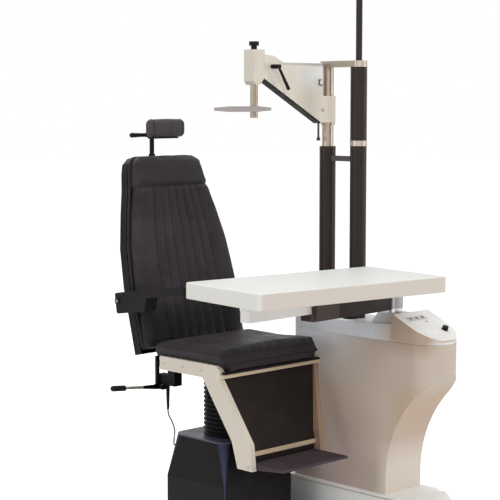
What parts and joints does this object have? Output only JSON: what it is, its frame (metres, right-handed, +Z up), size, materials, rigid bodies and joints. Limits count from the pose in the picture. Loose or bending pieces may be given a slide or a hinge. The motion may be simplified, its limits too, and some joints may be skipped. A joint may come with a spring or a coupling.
{
  "type": "ophthalmic examination chair and stand",
  "caption": "Powered eye examination chair with reclining back, footrest and headrest, joined to a console with a swing table and an instrument arm on poles.",
  "frame": {"origin": "on the floor under the middle of the seat lift column", "axes": "+Z up, -Y the way the patient faces, +X to the patient's left, where the console stands"},
  "size_m": [1, 1.1974, 1.99],
  "materials": {
    "black_steel": "satin",
    "base_paint": "satin",
    "cap_paint": "satin",
    "column_steel": "brushed",
    "pump_casting": "cast",
    "bellows_rubber": "matt",
    "leather": "soft satin",
    "bracket_paint": "satin",
    "crossbar": "champagne satin",
    "panel_plastic": "fine grain",
    "tread": "ribbed",
    "cable_rubber": "matt",
    "cable_sheath": "satin",
    "chrome": "polished",
    "grip_plastic": "satin",
    "arm_pad": "soft moulded",
    "headrest_metal": "satin",
    "headrest_plate": "satin",
    "console_paint": "satin",
    "plinth_paint": "satin",
    "console_moulding": "satin",
    "button_plastic": "satin",
    "pole_paint": "satin",
    "bracket_alloy": "satin",
    "arm_paint": "enamelled casting",
    "trim_plastic": "matt",
    "rail_steel": "brushed",
    "swing_alloy": "dark enamel",
    "table_laminate": "satin laminate",
    "table_rail": "light enamel"
  },
  "bodies": {
    "stand": {"floor_plate": "black_steel", "chair_base_housing": "base_paint", "chair_base_cap": "cap_paint", "lift_outer_column": "column_steel", "lift_ram": "column_steel", "lift_pump_unit": "pump_casting", "console_plinth": "plinth_paint", "console_body": "console_paint", "console_top_cover": "console_moulding", "console_power_unit": "pump_casting", "control_panel": "console_moulding", "arm_pole_lower": "pole_paint", "arm_pole_upper": "chrome", "lamp_column": "pole_paint", "lamp_column_ring": "chrome", "pole_link": "chrome", "pole_top_bracket": "bracket_alloy", "lamp_pole": "chrome", "table_post": "bracket_alloy"},
    "seat": {"lift_inner_column": "column_steel", "lift_bellows": "bellows_rubber", "seat_frame": "black_steel", "seat_cushion": "leather", "right_side_bracket": "bracket_paint", "left_side_bracket": "bracket_paint", "legrest_crossbars": "crossbar", "calf_panel": "panel_plastic", "recline_casing": "panel_plastic", "cable_gland": "cable_rubber", "lift_cable": "cable_sheath", "back_hinge_pin": "column_steel"},
    "footplate": {"footplate": "tread"},
    "recline_lever": {"recline_lever_rod": "chrome", "recline_lever_grip": "grip_plastic"},
    "backrest": {"back_frame": "black_steel", "back_shell": "panel_plastic", "back_cushion": "leather", "headrest_guide": "black_steel"},
    "left_armrest": {"left_armrest": "arm_pad"},
    "right_armrest": {"right_armrest": "arm_pad"},
    "headrest_slide": {"headrest_post": "headrest_metal"},
    "headrest": {"headrest_board": "headrest_plate", "headrest_cushion": "leather"},
    "headrest_lever": {"headrest_lever": "grip_plastic"},
    "button_1": {"control_button_1": "button_plastic"},
    "button_2": {"control_button_2": "button_plastic"},
    "button_3": {"control_button_3": "button_plastic"},
    "knob": {"control_knob": "grip_plastic"},
    "table_arm": {"table_swing_arm": "swing_alloy"},
    "table": {"table_top": "table_laminate", "table_support_rail": "table_rail"},
    "brake_knob": {"table_brake_knob": "grip_plastic"},
    "arm_collar": {"arm_height_collar": "chrome"},
    "arm": {"arm_casting": "arm_paint", "arm_underside_trim": "trim_plastic"},
    "arm_knob": {"arm_top_knob": "grip_plastic"},
    "clamp_lever": {"arm_clamp_lever": "grip_plastic"},
    "lock_pin": {"arm_lock_pin": "chrome"},
    "instrument_shaft": {"refractor_shaft": "chrome", "refractor_rail": "rail_steel"}
  },
  "joints": [
    {"name": "seat_lift", "type": "slide", "parent": "stand", "child": "seat", "axis": [0, 0, 1], "range_m": [-0.08, 0.12], "deforming": ["lift_bellows", "lift_cable"]},
    {"name": "back_recline", "type": "hinge", "parent": "seat", "child": "backrest", "pos_m": [0, 0.175, 0.6], "axis": [-1, 0, 0], "range_deg": [-5, 45]},
    {"name": "footplate_fold", "type": "hinge", "parent": "seat", "child": "footplate", "pos_m": [0, -0.296, 0.281], "axis": [-1, 0, 0], "range_deg": [0, 80]},
    {"name": "recline_lever_lift", "type": "hinge", "parent": "seat", "child": "recline_lever", "pos_m": [-0.24, 0.12, 0.519], "axis": [0, 1, 0], "range_deg": [0, 20], "stiffness_Nm_per_rad": 5, "springref_deg": -11.46},
    {"name": "left_armrest_fold", "type": "hinge", "parent": "backrest", "child": "left_armrest", "pos_m": [0.284, 0.26776, 0.82853], "axis": [-1, 0, 0], "range_deg": [0, 95]},
    {"name": "right_armrest_fold", "type": "hinge", "parent": "backrest", "child": "right_armrest", "pos_m": [-0.284, 0.26776, 0.82853], "axis": [-1, 0, 0], "range_deg": [0, 95]},
    {"name": "headrest_height", "type": "slide", "parent": "backrest", "child": "headrest_slide", "axis": [0, 0, 1], "range_m": [-0.02, 0.045]},
    {"name": "headrest_tilt", "type": "hinge", "parent": "headrest_slide", "child": "headrest", "pos_m": [0, 0.4, 1.447], "axis": [1, 0, 0], "range_deg": [-30, 20]},
    {"name": "headrest_clamp", "type": "hinge", "parent": "headrest_slide", "child": "headrest_lever", "pos_m": [0, 0.45, 1.43], "axis": [0, 1, 0], "range_deg": [-30, 60]},
    {"name": "button_1_press", "type": "slide", "parent": "stand", "child": "button_1", "axis": [0, 0.4187, -0.9081], "range_m": [0, 0.0025], "stiffness_N_per_m": 300, "springref_m": -0.001},
    {"name": "button_2_press", "type": "slide", "parent": "stand", "child": "button_2", "axis": [0, 0.4187, -0.9081], "range_m": [0, 0.0025], "stiffness_N_per_m": 300, "springref_m": -0.001},
    {"name": "button_3_press", "type": "slide", "parent": "stand", "child": "button_3", "axis": [0, 0.4187, -0.9081], "range_m": [0, 0.0025], "stiffness_N_per_m": 300, "springref_m": -0.001},
    {"name": "control_knob_turn", "type": "hinge", "parent": "stand", "child": "knob", "pos_m": [0.465, -0.6424, 0.73856], "axis": [0, -0.4187, 0.9081], "range_deg": [0, 270]},
    {"name": "table_swing", "type": "hinge", "parent": "stand", "child": "table_arm", "pos_m": [0.395, -0.47, 0.85], "axis": [0, 0, 1], "range_deg": [0, 90]},
    {"name": "table_slide", "type": "slide", "parent": "table_arm", "child": "table", "axis": [0.9995, 0.0332, 0], "range_m": [-0.1, 0.05]},
    {"name": "table_brake", "type": "hinge", "parent": "table_arm", "child": "brake_knob", "pos_m": [0.14014, -0.47845, 0.802], "axis": [0, 0, 1], "range_deg": [0, 120]},
    {"name": "arm_height", "type": "slide", "parent": "stand", "child": "arm_collar", "axis": [0, 0, 1], "range_m": [-0.06, 0.09]},
    {"name": "arm_swivel", "type": "hinge", "parent": "arm_collar", "child": "arm", "pos_m": [0.42, -0.104, 1.5], "axis": [0, 0, 1], "range_deg": [-80, 4]},
    {"name": "arm_knob_turn", "type": "hinge", "parent": "arm", "child": "arm_knob", "pos_m": [0.027, -0.104, 1.76], "axis": [0, 0, 1], "range_deg": [0, 180]},
    {"name": "arm_clamp_turn", "type": "hinge", "parent": "arm", "child": "clamp_lever", "pos_m": [0.1, -0.14, 1.685], "axis": [0, 1, 0], "range_deg": [-60, 30]},
    {"name": "arm_lock_pull", "type": "slide", "parent": "arm", "child": "lock_pin", "axis": [0, 0, 1], "range_m": [-0.008, 0], "stiffness_N_per_m": 500, "springref_m": 0.004},
    {"name": "instrument_turn", "type": "hinge", "parent": "arm", "child": "instrument_shaft", "pos_m": [0.027, -0.104, 1.55], "axis": [0, 0, 1], "range_deg": [-45, 45]}
  ]
}
